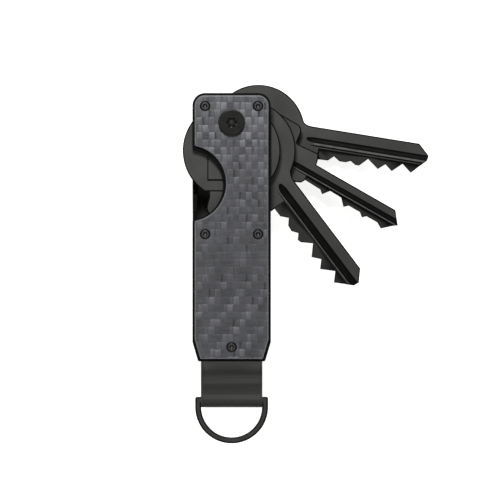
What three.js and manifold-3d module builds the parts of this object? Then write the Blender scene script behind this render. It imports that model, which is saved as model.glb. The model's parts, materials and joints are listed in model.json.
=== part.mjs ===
// Key organiser: four keys fanned on one pivot between two carbon-faced covers, with a webbing tab
// and a D-ring at the tail. Units are millimetres. The organiser lies on its rear cover: +Z points
// out of its front cover, +Y towards the pivot end, and the origin is the middle of the rear face.
import * as THREE from 'three';
import { mergeVertices } from 'three/addons/utils/BufferGeometryUtils.js';
import Module from 'manifold-3d';

const wasm = await Module();
wasm.setup();

// Covers
const BODY_WIDTH = 21.8;
const BODY_LENGTH = 74.6;
const TOP_CORNER_RADIUS = 3.5;
const TAIL_CHAMFER_X = 1.6;
const TAIL_CHAMFER_Y = 5.4;
const CARBON_THICKNESS = 1.0;
const CARBON_INSET = 0.55;
const LINER_THICKNESS = 1.2;
const SEAM = 0.05;

// Pivot and key stack
const PIVOT_Y = 29.05;
const KEY_THICKNESS = 2.2;
const WASHER_THICKNESS = 0.4;
const WASHER_RADIUS = 5.2;
const BARREL_RADIUS = 2.6;
const BARREL_BORE_RADIUS = 1.9;
const RUNNING_RADIUS = BARREL_RADIUS + 0.08;
const PIVOT_HEAD_RADIUS = 3.7;
const PIVOT_HEAD_HEIGHT = 0.7;
const PIVOT_HEAD_BEVEL = 0.3;
const PIVOT_SOCKET_RADIUS = 1.3;
const BARREL_END_THICKNESS = 1;
const FLANGE_FIT = 0.1;

// Thumb notch in the front cover, from the pivot
const NOTCH_X = -12.1;
const NOTCH_Y = PIVOT_Y - 16.9;
const NOTCH_RADIUS = 9.9;

// Small screws: where they sit, and their shape
const SCREW_X = 7.35;
const TOP_SCREW_Y = PIVOT_Y + 4.6;
const MIDDLE_SCREW_Y = PIVOT_Y - 31;
const TAIL_SCREW_Y = PIVOT_Y - 62.4;
const COUNTERSINK_RADIUS = 1.5;
const SCREW_HOLE_RADIUS = 0.76;
const SCREW_FIT = 0.06;
const SCREW_HEAD_DEPTH = 0.2;
const SOCKET_RADIUS = 0.5;
const SOCKET_DEPTH = 0.35;
const POST_SCREW_REACH = 3;

// Spine and posts
const SPINE_OUTER_X = -10.6;
const SPINE_THICKNESS = 1.0;
const SPINE_TOP_Y = PIVOT_Y - 19.9;
const SPINE_TOE_Y = PIVOT_Y - 16.2;
const SPINE_TOE_HEIGHT = 0.35;
const SPINE_BOTTOM_Y = PIVOT_Y - 60;
const SIDE_POST_RADIUS = 1.25;
const TAIL_POST_RADIUS = 1.7;
const POST_HOLE_FIT = 0.1;

// Webbing tab and its clamp
const CLAMP_TOP_Y = PIVOT_Y - 58;
const CLAMP_BOTTOM_Y = PIVOT_Y - 66;
const CLAMP_WIDTH = 17.8;
const WEBBING_WIDTH = 16.8;
const WEBBING_THICKNESS = 1.15;
const WEBBING_ROOT_TOP_Y = CLAMP_TOP_Y - 0.6;
const WEBBING_ROOT_END_Y = PIVOT_Y - 66.1;
const TAB_FLEX_Y = PIVOT_Y - 67.6;
const RING_BAR_Y = PIVOT_Y - 77;

// D-ring
const RING_WIRE = 1.55;
const RING_EDGE_BEVEL = 0.4;
const RING_OUTER_RADIUS = 10.15;
const RING_ARC_DROP = 2.05;
const RING_BAR_HOLE_RADIUS = 1;

// How far a solid that cuts another runs past it
const OVERCUT = 1;

const ROUND_SEGMENTS = 36;
const SMALL_SEGMENTS = 16;
const NOTCH_SEGMENTS = 56;
const BOW_SEGMENTS = 56;
const CORNER_SEGMENTS = 6;

// Heights of the stacked plates, from the rear face up
const REAR_LINER_Z = CARBON_THICKNESS + SEAM;
const BAY_FLOOR_Z = REAR_LINER_Z + LINER_THICKNESS;
const LAYER_PITCH = WASHER_THICKNESS + KEY_THICKNESS + 2 * SEAM;
const BAY_ROOF_Z = BAY_FLOOR_Z + 4 * LAYER_PITCH + WASHER_THICKNESS + 2 * SEAM;
const FRONT_CARBON_Z = BAY_ROOF_Z + LINER_THICKNESS + SEAM;
const FRONT_FACE_Z = FRONT_CARBON_Z + CARBON_THICKNESS;
const TAB_Z = (BAY_FLOOR_Z + BAY_ROOF_Z) / 2;

const materials = {
  carbon: new THREE.MeshStandardMaterial({ color: 0x5f6066, roughness: 0.42, metalness: 0.1 }),
  anodised: new THREE.MeshStandardMaterial({ color: 0x141414, roughness: 0.45, metalness: 0.7 }),
  screw: new THREE.MeshStandardMaterial({ color: 0x262624, roughness: 0.4, metalness: 0.8 }),
  key: new THREE.MeshStandardMaterial({ color: 0x474743, roughness: 0.5, metalness: 0.6 }),
  washer: new THREE.MeshStandardMaterial({ color: 0x1c1c1c, roughness: 0.6, metalness: 0 }),
  webbing: new THREE.MeshStandardMaterial({ color: 0x3a3b36, roughness: 0.9, metalness: 0 }),
  ring: new THREE.MeshStandardMaterial({ color: 0x3a3b36, roughness: 0.45, metalness: 0.7 }),
};

const organiser = new THREE.Group();

// Adds one named sub-part to the organiser with a material of its own.
function addPart(name, geometry, material, position = [0, 0, 0], turn = 0) {
  const mesh = new THREE.Mesh(geometry, material.clone());
  mesh.name = name;
  mesh.position.set(...position);
  mesh.rotation.z = turn;
  organiser.add(mesh);
}

// three.js geometry to a manifold solid and back
function toSolid(geometry) {
  const plain = geometry.clone();
  plain.deleteAttribute('normal');
  plain.deleteAttribute('uv');
  const merged = mergeVertices(plain, 1e-4);
  return new wasm.Manifold(new wasm.Mesh({
    numProp: 3,
    vertProperties: new Float32Array(merged.attributes.position.array),
    triVerts: new Uint32Array(merged.index.array),
  }));
}

function toGeometry(solid) {
  const mesh = solid.getMesh();
  const geometry = new THREE.BufferGeometry();
  geometry.setAttribute('position', new THREE.BufferAttribute(mesh.vertProperties, 3));
  geometry.setIndex(new THREE.BufferAttribute(mesh.triVerts, 1));
  geometry.computeVertexNormals();
  return geometry;
}

function cut(geometry, tools) {
  const solid = tools.reduce((rest, tool) => rest.subtract(toSolid(tool)), toSolid(geometry));
  return toGeometry(solid);
}

function join(geometries) {
  const [first, ...others] = geometries.map(toSolid);
  return toGeometry(others.reduce((whole, part) => whole.add(part), first));
}

// Plain building blocks, all standing on z = bottom
function slab(shape, bottom, height, curveSegments = 10) {
  const geometry = new THREE.ExtrudeGeometry(shape, {
    depth: height, bevelEnabled: false, curveSegments,
  });
  return geometry.translate(0, 0, bottom);
}

function block(left, right, low, high, bottom, top) {
  const geometry = new THREE.BoxGeometry(right - left, high - low, top - bottom);
  return geometry.translate((left + right) / 2, (low + high) / 2, (bottom + top) / 2);
}

function turned(profile, segments = SMALL_SEGMENTS) {
  const points = profile.map(([radius, z]) => new THREE.Vector2(radius, z));
  return new THREE.LatheGeometry(points, segments).rotateX(Math.PI / 2);
}

function rod(radius, bottom, top, x = 0, y = 0, segments = SMALL_SEGMENTS) {
  const profile = [[0, bottom], [radius, bottom], [radius, top], [0, top]];
  return turned(profile, segments).translate(x, y, 0);
}

function sleeve(outer, inner, bottom, top, segments = ROUND_SEGMENTS) {
  const profile = [[inner, bottom], [outer, bottom], [outer, top], [inner, top], [inner, bottom]];
  return turned(profile, segments);
}

// Outline of a cover plate, drawn in from the edge of the liner by inset: round corners at the
// pivot end and chamfered corners at the tail.
function coverOutline(inset) {
  const side = BODY_WIDTH / 2 - inset;
  const top = BODY_LENGTH / 2 - inset;
  const bottom = -top;
  const round = TOP_CORNER_RADIUS - inset;
  const shape = new THREE.Shape();
  shape.moveTo(side - TAIL_CHAMFER_X, bottom);
  shape.lineTo(side, bottom + TAIL_CHAMFER_Y);
  shape.lineTo(side, top - round);
  shape.absarc(side - round, top - round, round, 0, Math.PI / 2, false);
  shape.lineTo(round - side, top);
  shape.absarc(round - side, top - round, round, Math.PI / 2, Math.PI, false);
  shape.lineTo(-side, bottom + TAIL_CHAMFER_Y);
  shape.lineTo(TAIL_CHAMFER_X - side, bottom);
  shape.closePath();
  return shape;
}

const screwPlaces = [
  { name: 'top_left', x: -SCREW_X, y: TOP_SCREW_Y, inPost: false },
  { name: 'top_right', x: SCREW_X, y: TOP_SCREW_Y, inPost: false },
  { name: 'middle_left', x: -SCREW_X, y: MIDDLE_SCREW_Y, inPost: true },
  { name: 'middle_right', x: SCREW_X, y: MIDDLE_SCREW_Y, inPost: false },
  { name: 'tail', x: 0, y: TAIL_SCREW_Y, inPost: true },
];

// The countersunk hole of a small screw, as a solid to cut away. It is drawn for the front cover,
// going down from the face, and the rear cover's is its mirror image.
const COUNTERSINK_DEPTH = COUNTERSINK_RADIUS - SCREW_HOLE_RADIUS;
function countersink() {
  return turned([
    [0, FRONT_FACE_Z - COUNTERSINK_DEPTH],
    [SCREW_HOLE_RADIUS, FRONT_FACE_Z - COUNTERSINK_DEPTH],
    [COUNTERSINK_RADIUS + OVERCUT, FRONT_FACE_Z + OVERCUT],
    [0, FRONT_FACE_Z + OVERCUT],
  ]);
}

function facingRear(geometry) {
  return geometry.rotateY(Math.PI).translate(0, 0, FRONT_FACE_Z);
}

// Cover plates
function addCovers() {
  const screwHoles = (bottom, top) => screwPlaces.map(
    ({ x, y }) => rod(SCREW_HOLE_RADIUS, bottom - OVERCUT, top + OVERCUT, x, y));
  const notch = (radius) => rod(radius, BAY_ROOF_Z - OVERCUT, FRONT_FACE_Z + OVERCUT,
    NOTCH_X, NOTCH_Y, NOTCH_SEGMENTS);
  const pivotHole = (radius) => rod(radius, -OVERCUT, FRONT_FACE_Z + OVERCUT,
    0, PIVOT_Y, ROUND_SEGMENTS);
  const carbonShape = coverOutline(CARBON_INSET);
  const linerShape = coverOutline(0);

  addPart('front_carbon_plate', cut(slab(carbonShape, FRONT_CARBON_Z, CARBON_THICKNESS), [
    pivotHole(RUNNING_RADIUS),
    notch(NOTCH_RADIUS + CARBON_INSET),
    ...screwHoles(FRONT_CARBON_Z, FRONT_FACE_Z),
    ...screwPlaces.map(({ x, y }) => countersink().translate(x, y, 0)),
  ]), materials.carbon);

  addPart('front_liner', cut(slab(linerShape, BAY_ROOF_Z, LINER_THICKNESS), [
    pivotHole(RUNNING_RADIUS),
    notch(NOTCH_RADIUS),
    ...screwHoles(BAY_ROOF_Z, FRONT_CARBON_Z),
  ]), materials.anodised);

  addPart('rear_liner', cut(slab(linerShape, REAR_LINER_Z, LINER_THICKNESS), [
    pivotHole(RUNNING_RADIUS),
    ...screwHoles(REAR_LINER_Z, BAY_FLOOR_Z),
  ]), materials.anodised);

  addPart('rear_carbon_plate', cut(slab(carbonShape, 0, CARBON_THICKNESS), [
    pivotHole(PIVOT_HEAD_RADIUS + FLANGE_FIT),
    ...screwHoles(0, CARBON_THICKNESS),
    ...screwPlaces.map(({ x, y }) => facingRear(countersink()).translate(x, y, 0)),
  ]), materials.carbon);
}

// The left side wall. A low toe carries on under the bows, up to the thumb notch.
function addSpine() {
  const inner = SPINE_OUTER_X + SPINE_THICKNESS;
  const bottom = BAY_FLOOR_Z + SEAM;
  const wall = block(SPINE_OUTER_X, inner, SPINE_BOTTOM_Y, SPINE_TOP_Y, bottom, BAY_ROOF_Z - SEAM);
  const toe = block(SPINE_OUTER_X, inner, SPINE_TOP_Y - OVERCUT, SPINE_TOE_Y, bottom,
    bottom + SPINE_TOE_HEIGHT);
  addPart('side_spine', join([wall, toe]), materials.anodised);
}

// A small screw with a cone head and a hexagonal socket, drawn in the front cover at x = y = 0
function smallScrew(tipZ) {
  const headTop = FRONT_FACE_Z - SCREW_HEAD_DEPTH;
  const shank = SCREW_HOLE_RADIUS - SCREW_FIT;
  const headRadius = COUNTERSINK_RADIUS - SCREW_HEAD_DEPTH - SCREW_FIT;
  const body = turned([
    [0, tipZ],
    [shank, tipZ],
    [shank, headTop - (headRadius - shank)],
    [headRadius, headTop],
    [0, headTop],
  ]);
  const socket = rod(SOCKET_RADIUS, headTop - SOCKET_DEPTH, headTop + OVERCUT, 0, 0, 6);
  return cut(body, [socket]);
}

function addSmallScrews() {
  for (const { name, x, y, inPost } of screwPlaces) {
    const tipZ = inPost ? BAY_ROOF_Z - POST_SCREW_REACH : BAY_ROOF_Z + SEAM;
    addPart(`front_screw_${name}`, smallScrew(tipZ), materials.screw, [x, y, 0]);
    addPart(`rear_screw_${name}`, facingRear(smallScrew(tipZ)), materials.screw, [x, y, 0]);
  }
}

// Threaded standoffs between the two liners
function addPosts() {
  const bottom = BAY_FLOOR_Z + SEAM;
  const top = BAY_ROOF_Z - SEAM;
  addPart('side_post', sleeve(SIDE_POST_RADIUS, SCREW_HOLE_RADIUS, bottom, top, SMALL_SEGMENTS),
    materials.screw, [-SCREW_X, MIDDLE_SCREW_Y, 0]);
  addPart('tail_post', sleeve(TAIL_POST_RADIUS, SCREW_HOLE_RADIUS, bottom, top, SMALL_SEGMENTS),
    materials.screw, [0, TAIL_SCREW_Y, 0]);
}

// Pivot: a barrel nut with its flange sunk in the rear cover, and a screw from the front
function addPivot() {
  const flangeTop = CARBON_THICKNESS;
  const barrelTop = FRONT_CARBON_Z + CARBON_THICKNESS / 2;
  const barrel = turned([
    [BARREL_BORE_RADIUS, SEAM + BARREL_END_THICKNESS],
    [BARREL_BORE_RADIUS, barrelTop],
    [BARREL_RADIUS, barrelTop],
    [BARREL_RADIUS, flangeTop],
    [PIVOT_HEAD_RADIUS, flangeTop],
    [PIVOT_HEAD_RADIUS, SEAM],
    [0, SEAM],
    [0, SEAM + BARREL_END_THICKNESS],
    [BARREL_BORE_RADIUS, SEAM + BARREL_END_THICKNESS],
  ].reverse(), ROUND_SEGMENTS);
  addPart('pivot_barrel_nut', barrel, materials.screw, [0, PIVOT_Y, 0]);

  const headBottom = FRONT_FACE_Z + SEAM;
  const headTop = headBottom + PIVOT_HEAD_HEIGHT;
  const shank = BARREL_BORE_RADIUS - SCREW_FIT;
  const screw = turned([
    [0, BAY_FLOOR_Z],
    [shank, BAY_FLOOR_Z],
    [shank, headBottom],
    [PIVOT_HEAD_RADIUS, headBottom],
    [PIVOT_HEAD_RADIUS, headTop - PIVOT_HEAD_BEVEL],
    [PIVOT_HEAD_RADIUS - PIVOT_HEAD_BEVEL, headTop],
    [0, headTop],
  ], ROUND_SEGMENTS);
  const socket = rod(PIVOT_SOCKET_RADIUS, headTop - PIVOT_HEAD_HEIGHT, headTop + OVERCUT, 0, 0, 6);
  addPart('pivot_screw', cut(screw, [socket]), materials.screw, [0, PIVOT_Y, 0]);

  for (let layer = 0; layer < 5; layer += 1) {
    const bottom = BAY_FLOOR_Z + SEAM + layer * LAYER_PITCH;
    const washer = sleeve(WASHER_RADIUS, RUNNING_RADIUS, bottom, bottom + WASHER_THICKNESS);
    addPart(`key_washer_${layer + 1}`, washer, materials.washer, [0, PIVOT_Y, 0]);
  }
}

// Keys. Each is drawn with the pivot at the origin, the blade along +X and the teeth towards -Y.
const roundBow = (x, y, radius) => new THREE.Shape().absarc(x, y, radius, 0, 2 * Math.PI, false);

// A bow with straight sides, whose two corners behind the pivot are rounder than the others
function rectangularBow(left, right, halfHeight, round, rearRound) {
  const shape = new THREE.Shape();
  shape.absarc(right - round, halfHeight - round, round, 0, Math.PI / 2, false);
  shape.absarc(left + rearRound, halfHeight - rearRound, rearRound, Math.PI / 2, Math.PI, false);
  shape.absarc(left + rearRound, rearRound - halfHeight, rearRound, Math.PI, 1.5 * Math.PI, false);
  shape.absarc(right - round, round - halfHeight, round, 1.5 * Math.PI, 2 * Math.PI, false);
  shape.closePath();
  return shape;
}

// blade is the blade's outline, from the bow along its teeth to the tip and back along its plain
// side. groove is the milled channel, [start, low, high], which runs out at the tip, and bowEnd is
// where the thick bow stops.
const keys = [
  {
    name: 'key_a',
    direction: -9.15,
    bow: roundBow(7.7, -1.1, 12.9),
    bowSegments: BOW_SEGMENTS,
    bowEnd: 21,
    blade: [
      [15, -4.8], [25.3, -4.8], [25.4, -6.2], [28.1, -6.1], [29.6, -4.7], [31.3, -5.8],
      [33.1, -5.8], [34.4, -5.2], [35.8, -6.1], [36.9, -6.1], [39.1, -3.9], [42.2, -6.2],
      [44.1, -4.6], [46.1, -6.2], [48.8, -3.7], [51.4, -5.8], [55.4, -1.7], [55.6, -0.3],
      [52.5, 2.7], [15, 2.7],
    ],
    groove: [21.4, -2.55, -0.3],
    bladeThickness: KEY_THICKNESS,
  },
  {
    name: 'key_b',
    direction: -29.7,
    bow: rectangularBow(-5, 18, 8.8, 2.5, 6.5),
    bowSegments: CORNER_SEGMENTS,
    bowEnd: 18.1,
    blade: [
      [15, -5.6], [23.5, -5.6], [25, -4.9], [25.5, -3.9], [30.6, -3.9], [31.7, -4.8],
      [33.2, -2.7], [36.8, -2.8], [38.6, -4.9], [39.7, -3.9], [43.3, -3.9], [44.5, -4.9],
      [45.5, -4], [48.9, -4], [50.6, -5], [53.3, -2.6], [54.3, -1.9], [51.6, 1.5], [26.3, 1.5],
      [25.9, 3.2], [25.2, 4.5], [18.5, 3.95], [15, 3.95],
    ],
    groove: [19, -2.55, -0.5],
    bladeThickness: KEY_THICKNESS,
  },
  {
    name: 'key_c',
    direction: -52.9,
    bow: roundBow(8.5, -1.3, 13.7),
    bowSegments: BOW_SEGMENTS,
    bowEnd: 22.3,
    blade: [
      [15, -6.1], [26.3, -6.1], [26.3, -5], [28.9, -4.9], [30.7, -3.3], [32.3, -4.7],
      [34.1, -4.9], [35.7, -3.7], [37.1, -5], [38.1, -4.7], [40.4, -2.2], [43.2, -4.8],
      [45.3, -3], [47.3, -4.9], [50.3, -1.8], [52.6, -4.1], [56.6, -0.2], [56.8, 1.4],
      [53.9, 4.1], [15, 4.1],
    ],
    groove: [21.8, -1.25, 1.2],
    bladeThickness: KEY_THICKNESS,
  },
  {
    name: 'key_d',
    direction: -90,
    bow: roundBow(7.75, 0, 13.6),
    bowSegments: BOW_SEGMENTS,
    bowEnd: 19.1,
    blade: [
      [12, -6.5], [20.7, -6.3], [22.5, -6.8], [24, -7], [25, -6.6], [26.2, -5.6], [28.4, -5.6],
      [30.4, -3.8], [32.6, -5.4], [34.8, -5.4], [36.6, -3.2], [39.2, -5.2], [41.4, -4],
      [43.6, -5.3], [46.2, -2.8], [48.8, -5.1], [52.8, -1.3], [52.8, 0], [50.2, 2.6],
      [26, 2.6], [22, 4.6], [12, 4.6],
    ],
    groove: [21.6, -1.8, 0.4],
    bladeThickness: 1.8,
  },
];
const GROOVE_DEPTH = 0.6;
const KEY_REACH = 60;

function outline(points) {
  return new THREE.Shape(points.map(([x, y]) => new THREE.Vector2(x, y)));
}

function keyGeometry({ bow, bowSegments, blade, groove, bladeThickness, bowEnd }) {
  const [start, low, high] = groove;
  const bladeBottom = (KEY_THICKNESS - bladeThickness) / 2;
  const bladeTop = bladeBottom + bladeThickness;
  const bowSlab = slab(bow, 0, KEY_THICKNESS, bowSegments);
  const bladeSlab = slab(outline(blade), bladeBottom, bladeThickness);
  const below = -OVERCUT;
  const above = KEY_THICKNESS + OVERCUT;
  const squareEnd = block(bowEnd, KEY_REACH, -KEY_REACH, KEY_REACH, below, above);
  return cut(join([cut(bowSlab, [squareEnd]), bladeSlab]), [
    rod(RUNNING_RADIUS, below, above, 0, 0, ROUND_SEGMENTS),
    block(start, KEY_REACH, low, high, bladeTop - GROOVE_DEPTH, above),
    block(start, KEY_REACH, high, 2 * high - low, below, bladeBottom + GROOVE_DEPTH),
  ]);
}

function addKeys() {
  keys.forEach((key, layer) => {
    const bottom = BAY_FLOOR_Z + 2 * SEAM + WASHER_THICKNESS + layer * LAYER_PITCH;
    addPart(key.name, keyGeometry(key), materials.key, [0, PIVOT_Y, bottom],
      THREE.MathUtils.degToRad(key.direction));
  });
}

// Outline in Y and Z swept along X, centred on x = 0
function acrossWidth(shape, width, curveSegments = 10) {
  const axes = new THREE.Matrix4().makeBasis(
    new THREE.Vector3(0, 1, 0), new THREE.Vector3(0, 0, 1), new THREE.Vector3(1, 0, 0));
  return slab(shape, -width / 2, width, curveSegments).applyMatrix4(axes);
}

// The webbing is one strip doubled round the ring's bar. Its root is clamped between two blocks, and
// the tab outside the covers is a piece of its own here, with a round end where it flexes.
function addWebbing() {
  const half = WEBBING_THICKNESS;
  const left = -CLAMP_WIDTH / 2;
  const right = CLAMP_WIDTH / 2;
  const postHole = rod(TAIL_POST_RADIUS + POST_HOLE_FIT, 0, FRONT_FACE_Z, 0, TAIL_SCREW_Y);
  const low = CLAMP_BOTTOM_Y;
  const high = CLAMP_TOP_Y;
  const frontBlock = block(left, right, low, high, TAB_Z + half + SEAM, BAY_ROOF_Z - SEAM);
  const rearBlock = block(left, right, low, high, BAY_FLOOR_Z + SEAM, TAB_Z - half - SEAM);
  addPart('front_clamp_block', cut(frontBlock, [postHole]), materials.anodised);
  addPart('rear_clamp_block', cut(rearBlock, [postHole]), materials.anodised);

  const root = block(-WEBBING_WIDTH / 2, WEBBING_WIDTH / 2, WEBBING_ROOT_END_Y,
    WEBBING_ROOT_TOP_Y, TAB_Z - half, TAB_Z + half);
  addPart('webbing_root', cut(root, [postHole]), materials.webbing);

  const loopRadius = RING_BAR_HOLE_RADIUS + WEBBING_THICKNESS;
  const tab = new THREE.Shape();
  tab.absarc(TAB_FLEX_Y, TAB_Z, half, -Math.PI / 2, Math.PI / 2, false);
  tab.lineTo(RING_BAR_Y + 2 * loopRadius, TAB_Z + half);
  tab.absarc(RING_BAR_Y, TAB_Z, loopRadius, Math.PI / 2, 1.5 * Math.PI, false);
  tab.lineTo(RING_BAR_Y + 2 * loopRadius, TAB_Z - half);
  tab.closePath();
  const barHole = new THREE.Path();
  barHole.absarc(RING_BAR_Y, TAB_Z, RING_BAR_HOLE_RADIUS, 0, 2 * Math.PI, true);
  tab.holes.push(barHole);
  addPart('webbing_tab', acrossWidth(tab, WEBBING_WIDTH, 16), materials.webbing);
}

// D-ring: a straight bar with square shoulders and a half-round bow, all of one wire with its
// edges bevelled
function addRing() {
  const outer = RING_OUTER_RADIUS - RING_EDGE_BEVEL;
  const inner = RING_OUTER_RADIUS - RING_WIRE + RING_EDGE_BEVEL;
  const barTop = RING_BAR_Y + RING_WIRE / 2 - RING_EDGE_BEVEL;
  const barBottom = RING_BAR_Y - RING_WIRE / 2 + RING_EDGE_BEVEL;
  const arcY = RING_BAR_Y - RING_ARC_DROP;
  const shape = new THREE.Shape();
  shape.moveTo(outer, barTop);
  shape.lineTo(-outer, barTop);
  shape.absarc(0, arcY, outer, Math.PI, 2 * Math.PI, false);
  shape.closePath();
  const opening = new THREE.Path();
  opening.moveTo(-inner, barBottom);
  opening.lineTo(inner, barBottom);
  opening.absarc(0, arcY, inner, 0, Math.PI, true);
  opening.closePath();
  shape.holes.push(opening);
  const ring = new THREE.ExtrudeGeometry(shape, {
    depth: RING_WIRE - 2 * RING_EDGE_BEVEL,
    bevelEnabled: true,
    bevelThickness: RING_EDGE_BEVEL,
    bevelSize: RING_EDGE_BEVEL,
    bevelSegments: 1,
    curveSegments: 20,
  });
  ring.translate(0, 0, TAB_Z - RING_WIRE / 2 + RING_EDGE_BEVEL);
  addPart('d_ring', ring, materials.ring);
}

addCovers();
addSpine();
addSmallScrews();
addPosts();
addPivot();
addKeys();
addWebbing();
addRing();

export default organiser;
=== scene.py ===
"""Looks of the key organiser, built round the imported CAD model. Lengths in the code are millimetres,
turned into metres by MM when a mesh is made. Places come from the frame."""
import json
import math

import bmesh
import bpy
import numpy as np
from mathutils import Matrix, Vector
from mathutils.geometry import delaunay_2d_cdt


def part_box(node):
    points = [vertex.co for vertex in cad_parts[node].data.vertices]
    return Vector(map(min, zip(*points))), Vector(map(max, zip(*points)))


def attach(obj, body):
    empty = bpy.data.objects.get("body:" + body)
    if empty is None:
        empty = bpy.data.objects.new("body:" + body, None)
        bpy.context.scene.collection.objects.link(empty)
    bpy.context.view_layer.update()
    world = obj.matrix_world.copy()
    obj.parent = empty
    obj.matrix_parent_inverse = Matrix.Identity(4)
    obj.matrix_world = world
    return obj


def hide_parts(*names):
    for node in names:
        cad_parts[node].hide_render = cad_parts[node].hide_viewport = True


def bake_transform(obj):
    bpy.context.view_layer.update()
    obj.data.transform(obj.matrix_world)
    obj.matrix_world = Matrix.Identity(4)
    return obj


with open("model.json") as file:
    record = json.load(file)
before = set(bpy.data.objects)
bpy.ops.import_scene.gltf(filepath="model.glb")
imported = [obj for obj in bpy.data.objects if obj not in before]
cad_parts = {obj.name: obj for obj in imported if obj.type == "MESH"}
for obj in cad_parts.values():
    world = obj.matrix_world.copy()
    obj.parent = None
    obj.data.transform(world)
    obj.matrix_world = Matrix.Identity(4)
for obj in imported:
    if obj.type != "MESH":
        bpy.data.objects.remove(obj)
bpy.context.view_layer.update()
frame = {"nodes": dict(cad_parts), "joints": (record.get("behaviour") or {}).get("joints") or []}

MM = 0.001


# ---- places taken from the frame
def corners(node):
    """Lowest and highest corner of a CAD node, in millimetres."""
    low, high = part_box(node)
    return low / MM, high / MM


def middle(node):
    """Centre of a CAD node's box, in millimetres."""
    low, high = corners(node)
    return (low + high) / 2


PIVOT = middle("pivot_screw")
FRONT_FACE = corners("front_carbon_plate")[1].z
SCREW_NAMES = ("top_left", "top_right", "middle_left", "middle_right", "tail")
SCREW_PLACES = {name: middle(f"front_screw_{name}") for name in SCREW_NAMES}
TAB_Z = middle("webbing_root").z
RING_LOW, RING_HIGH = corners("d_ring")
SWING_START = {j["child"]: j["range_deg"][0] for j in frame["joints"]}

# ---- driving dimensions
CARBON_INSET = 0.66
CARBON_CHAMFER = (0.26, 0.3)
TOP_CORNER_RADIUS = 3.5
TAIL_CHAMFER = (1.6, 5.4)
NOTCH_CENTRE = (-12.1, PIVOT.y - 16.9)
NOTCH_RADIUS = 9.9
LINER_NOTCH_LEAD = 0.45
COUNTERSINK_RADIUS = 1.5
SCREW_HOLE_RADIUS = 0.76
PIVOT_HOLE_RADIUS = 2.68
CAD_WIRE = 1.55
SHARP_DEGREES = 32


# ---- outlines, as lists of (x, y)
def arc(centre, radius, start, end, steps):
    """Points on a circle from one angle to another, in degrees, both ends included."""
    angles = np.radians(np.linspace(start, end, steps + 1))
    return [(centre[0] + radius * math.cos(a), centre[1] + radius * math.sin(a)) for a in angles]


def bend(start, corner, end, steps=6):
    """A smooth turn from start to end that would meet at corner, without its two end points."""
    ts = np.linspace(0, 1, steps + 2)[1:-1]
    points = [Vector(start), Vector(corner), Vector(end)]
    return [tuple(points[0] * (1 - t) ** 2 + points[1] * 2 * t * (1 - t) + points[2] * t * t)
            for t in ts]


def rounded_corners(points, steps=5):
    """Corners given as (x, y, radius) become arcs of that radius; a radius of 0 keeps a corner."""
    outline = []
    for k, (x, y, radius) in enumerate(points):
        here = Vector((x, y))
        before = (Vector(points[k - 1][:2]) - here).normalized()
        after = (Vector(points[(k + 1) % len(points)][:2]) - here).normalized()
        if radius == 0:
            outline.append((x, y))
            continue
        half = before.angle(after) / 2
        reach = radius / math.tan(half)
        start, end = here + before * reach, here + after * reach
        outline += [tuple(start), *bend(start, here, end, steps), tuple(end)]
    return outline


def circle(centre, radius, steps=64):
    """A hole's outline, which runs clockwise."""
    return arc(centre, radius, 360, 0, steps)[:-1]


def offset_loop(points, distance):
    """The outline moved to the left of its travel by distance, which is into the material."""
    p = np.array(points, float)
    along = np.roll(p, -1, 0) - p
    along /= np.linalg.norm(along, axis=1)[:, None]
    normal = np.stack([-along[:, 1], along[:, 0]], 1)
    before = np.roll(normal, 1, 0)
    cosine = (normal * before).sum(1)[:, None]
    return p + distance * (normal + before) / (1 + cosine)


# ---- edge profiles: (inset, z, painted light and wear)
# Width of the band beside an edge that keeps a flat face's shading flat
SUPPORT = 0.06


def round_edge(low, high, radius, steps=3):
    """Side of a plate from its lower cap to its upper cap, with both edges rounded."""
    turns = np.linspace(0, math.pi / 2, steps + 1)
    # The rounding is marked 1, a painted highlight wherever a finish reads the mark.
    profile = [(radius + SUPPORT, low, 0)]
    profile += [(radius * (1 - math.sin(t)), low + radius * (1 - math.cos(t)), 1) for t in turns]
    upper = [(radius * (1 - math.sin(t)), high - radius * (1 - math.cos(t)), 1) for t in turns]
    profile += upper[::-1]
    profile.append((radius + SUPPORT, high, 0))
    return profile


def chamfer_edge(low, high, width, depth):
    """Side of a plate with a chamfered upper edge, both of whose corners are slightly broken."""
    # The edges are marked 1, which paints a highlight on them.
    lower, corner, rim = 0.1, 0.03, width + 0.05
    return [
        (lower + SUPPORT, low, 0), (lower, low, 0), (0, low + lower, 1), (0, high - depth - 0.04, 0),
        (corner, high - depth + corner, 1), (width - corner, high - corner, 1), (rim, high, 1),
        (rim + SUPPORT, high, 0),
    ]


# ---- meshes
def stored_light_and_wear(lit_and_worn):
    """The value runs from -1, painted shade drawn as a thick coating, to 1, a painted highlight drawn
    as coating rubbed bare. It is stored round a half, and a point made by a later cut holds 0."""
    return 0.5 + 0.49 * lit_and_worn


def finish_mesh(bm, name, sharp_degrees=SHARP_DEGREES):
    """A mesh object in metres from a bmesh in millimetres, smooth except at its sharp edges."""
    bmesh.ops.recalc_face_normals(bm, faces=bm.faces[:])
    mesh = bpy.data.meshes.new(name)
    bm.to_mesh(mesh)
    bm.free()
    mesh.transform(Matrix.Scale(MM, 4))
    mesh.shade_smooth()
    mesh.set_sharp_from_angle(angle=math.radians(sharp_degrees))
    piece = bpy.data.objects.new(name, mesh)
    bpy.context.scene.collection.objects.link(piece)
    return piece


def skin_rings(bm, rings, closed=False):
    """Faces between each ring of vertices and the next."""
    pairs = list(zip(rings, rings[1:]))
    if closed:
        pairs.append((rings[-1], rings[0]))
    for low, high in pairs:
        count = len(low)
        for k in range(count):
            n = (k + 1) % count
            bm.faces.new((low[k], low[n], high[n], high[k]))


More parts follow.
